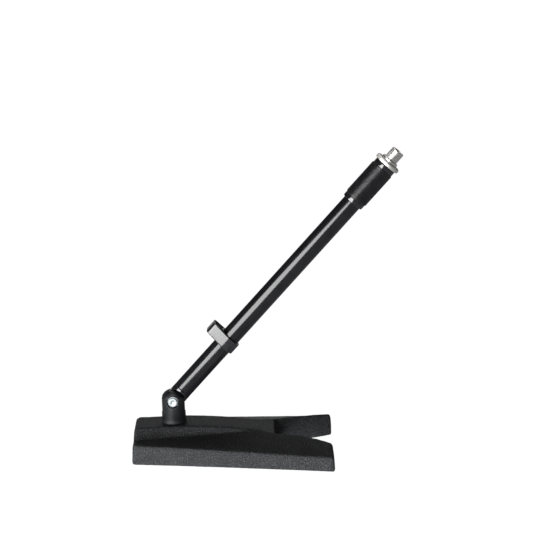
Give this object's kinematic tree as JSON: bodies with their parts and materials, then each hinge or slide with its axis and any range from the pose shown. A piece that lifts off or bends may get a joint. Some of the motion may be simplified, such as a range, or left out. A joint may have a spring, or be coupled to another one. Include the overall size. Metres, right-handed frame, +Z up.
{
  "type": "boom microphone stand",
  "caption": "Low boom microphone stand: heavy cast fishtail base, clevis post with a tilting telescopic arm, cable clip and threaded end for a microphone clip.",
  "frame": {"origin": "middle of the footprint, on the surface that the rubber feet stand on", "axes": "+X from the post towards the arm's tip, +Z up, the arm swings in the XZ plane"},
  "size_m": [0.3088, 0.1662, 0.36],
  "materials": {
    "textured_paint": "wrinkle-textured charcoal powder coat on cast iron",
    "rubber": "matt black rubber",
    "satin_black_metal": "satin black",
    "zinc": "bright zinc plating",
    "natural_nylon": "unpigmented nylon",
    "gloss_black_tube": "gloss black powder coat on steel tube",
    "black_nylon": "semi-gloss moulded nylon",
    "knurled_black": "black anodised fine diamond knurl",
    "nickel": "bright nickel plating"
  },
  "bodies": {
    "stand": {"base_casting": "textured_paint", "rubber_foot_rear_left": "rubber", "rubber_foot_rear_right": "rubber", "rubber_foot_front_left": "rubber", "rubber_foot_front_right": "rubber", "pivot_post": "satin_black_metal", "post_dowel": "zinc", "base_bolt": "zinc", "base_flat_washer": "zinc", "base_lock_washer": "zinc", "pivot_bolt": "zinc", "pivot_washer": "zinc", "pivot_nut": "zinc", "friction_washer_left": "natural_nylon", "friction_washer_right": "natural_nylon"},
    "arm": {"knuckle": "satin_black_metal", "knuckle_set_screw": "zinc", "outer_tube": "gloss_black_tube", "clutch_body": "satin_black_metal", "clutch_collet": "natural_nylon"},
    "clip": {"cable_clip": "black_nylon"},
    "clutch": {"clutch_grip": "knurled_black", "clutch_cap": "satin_black_metal"},
    "inner": {"inner_tube": "nickel", "threaded_spigot": "nickel", "guide_bush": "natural_nylon", "thread_collar": "nickel"},
    "disc": {"locking_disc": "nickel"}
  },
  "joints": [
    {"name": "arm_tilt", "type": "hinge", "parent": "stand", "child": "arm", "pos_m": [-0.10943, 0, 0.0607], "axis": [0, -1, 0], "range_deg": [-30, 117]},
    {"name": "tube_slide", "type": "slide", "parent": "arm", "child": "inner", "axis": [0.6595, 0, 0.7517], "range_m": [0, 0.24]},
    {"name": "clutch_turn", "type": "hinge", "parent": "arm", "child": "clutch", "pos_m": [-0.10943, 0, 0.0607], "axis": [0.6595, 0, 0.7517], "range_deg": [0, 270]},
    {"name": "clip_slide", "type": "slide", "parent": "arm", "child": "clip", "axis": [0.6595, 0, 0.7517], "range_m": [-0.067, 0.2095]},
    {"name": "disc_turn", "type": "hinge", "parent": "inner", "child": "disc", "pos_m": [-0.10943, 0, 0.0607], "axis": [0.6595, 0, 0.7517], "continuous": true}
  ]
}
